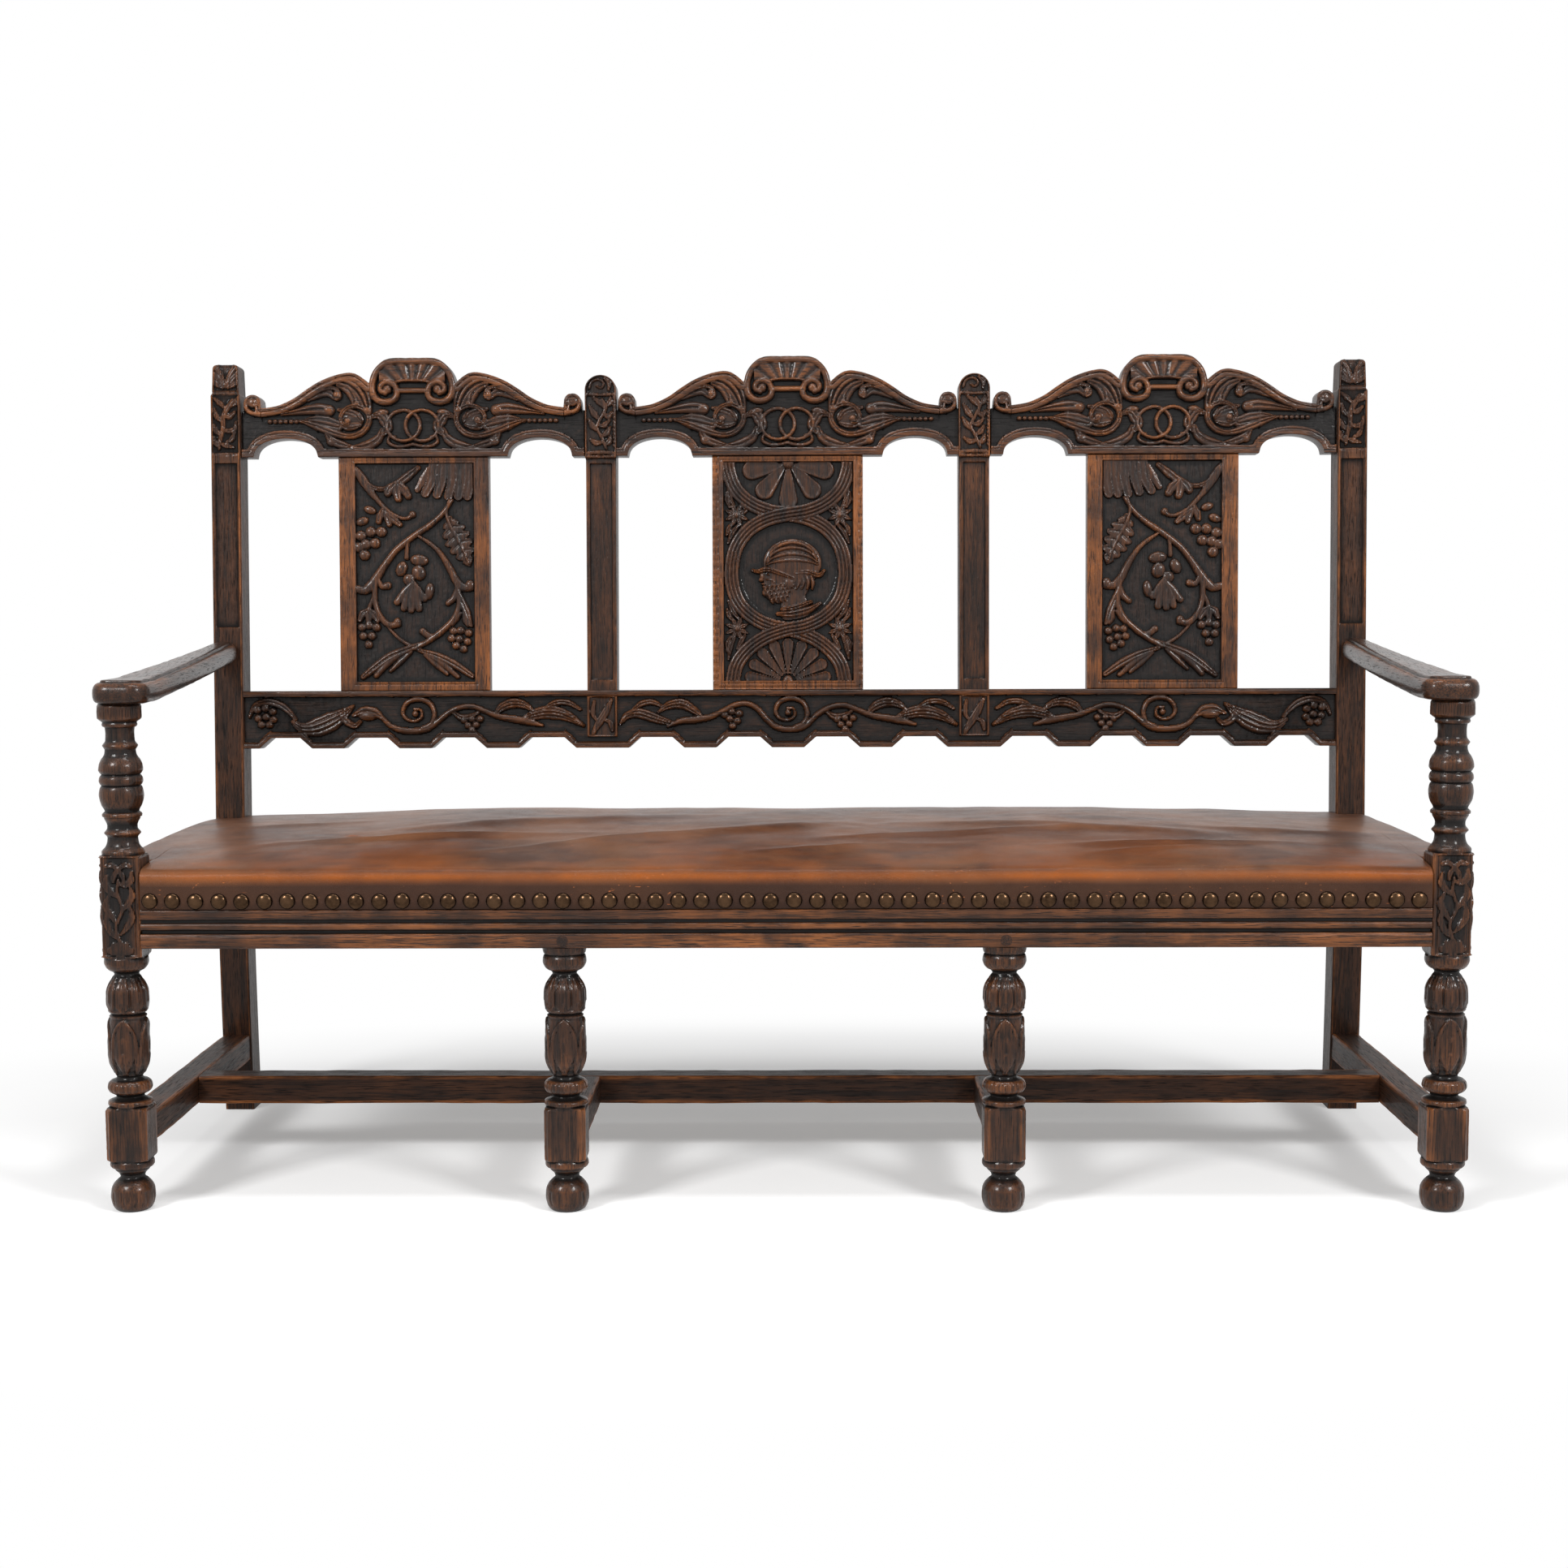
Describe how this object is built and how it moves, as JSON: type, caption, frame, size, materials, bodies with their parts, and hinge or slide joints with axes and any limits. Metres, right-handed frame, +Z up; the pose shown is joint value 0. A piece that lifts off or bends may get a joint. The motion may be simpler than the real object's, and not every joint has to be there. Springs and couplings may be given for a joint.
{
  "type": "hall bench",
  "caption": "Long carved oak hall bench with arms, turned legs, open carved panelled back, scrolled crest rails and a nailed leather seat.",
  "frame": {"origin": "on the floor, in the middle of the overall width and depth", "axes": "+X along the seat to the sitter's left, which is the viewer's right from in front; +Y from the front towards the back; +Z up"},
  "size_m": [1.7476, 0.6512, 1.1451],
  "materials": {
    "carved_oak": "dark stained and waxed, satin",
    "frame_wood": "plain sawn, matt",
    "nail_bronze": "dark patinated, soft shine",
    "seat_leather": "worn brown, soft shine",
    "stuffing": "matt fibre",
    "webbing": "matt jute"
  },
  "bodies": {
    "root": {"front_post_left": "carved_oak", "front_post_right": "carved_oak", "middle_leg_left": "carved_oak", "middle_leg_right": "carved_oak", "back_post_left": "carved_oak", "back_post_right": "carved_oak", "arm_left": "carved_oak", "arm_right": "carved_oak", "front_seat_rail": "carved_oak", "side_seat_rail_left": "carved_oak", "side_seat_rail_right": "carved_oak", "leg_pegs": "carved_oak", "lower_back_rail": "carved_oak", "inner_stile_left": "carved_oak", "inner_stile_right": "carved_oak", "crest_left": "carved_oak", "crest_centre": "carved_oak", "crest_right": "carved_oak", "panel_left": "carved_oak", "panel_centre": "carved_oak", "panel_right": "carved_oak", "side_stretcher_left": "carved_oak", "side_stretcher_right": "carved_oak", "long_stretcher": "carved_oak", "short_stretcher_left": "carved_oak", "short_stretcher_right": "carved_oak", "rear_seat_rail": "frame_wood", "seat_bearer_left": "frame_wood", "seat_bearer_right": "frame_wood", "corner_blocks": "frame_wood", "nails_front": "nail_bronze", "nails_left": "nail_bronze", "nails_right": "nail_bronze", "seat_leather": "seat_leather", "seat_stuffing": "stuffing", "seat_webbing": "webbing"}
  },
  "joints": []
}
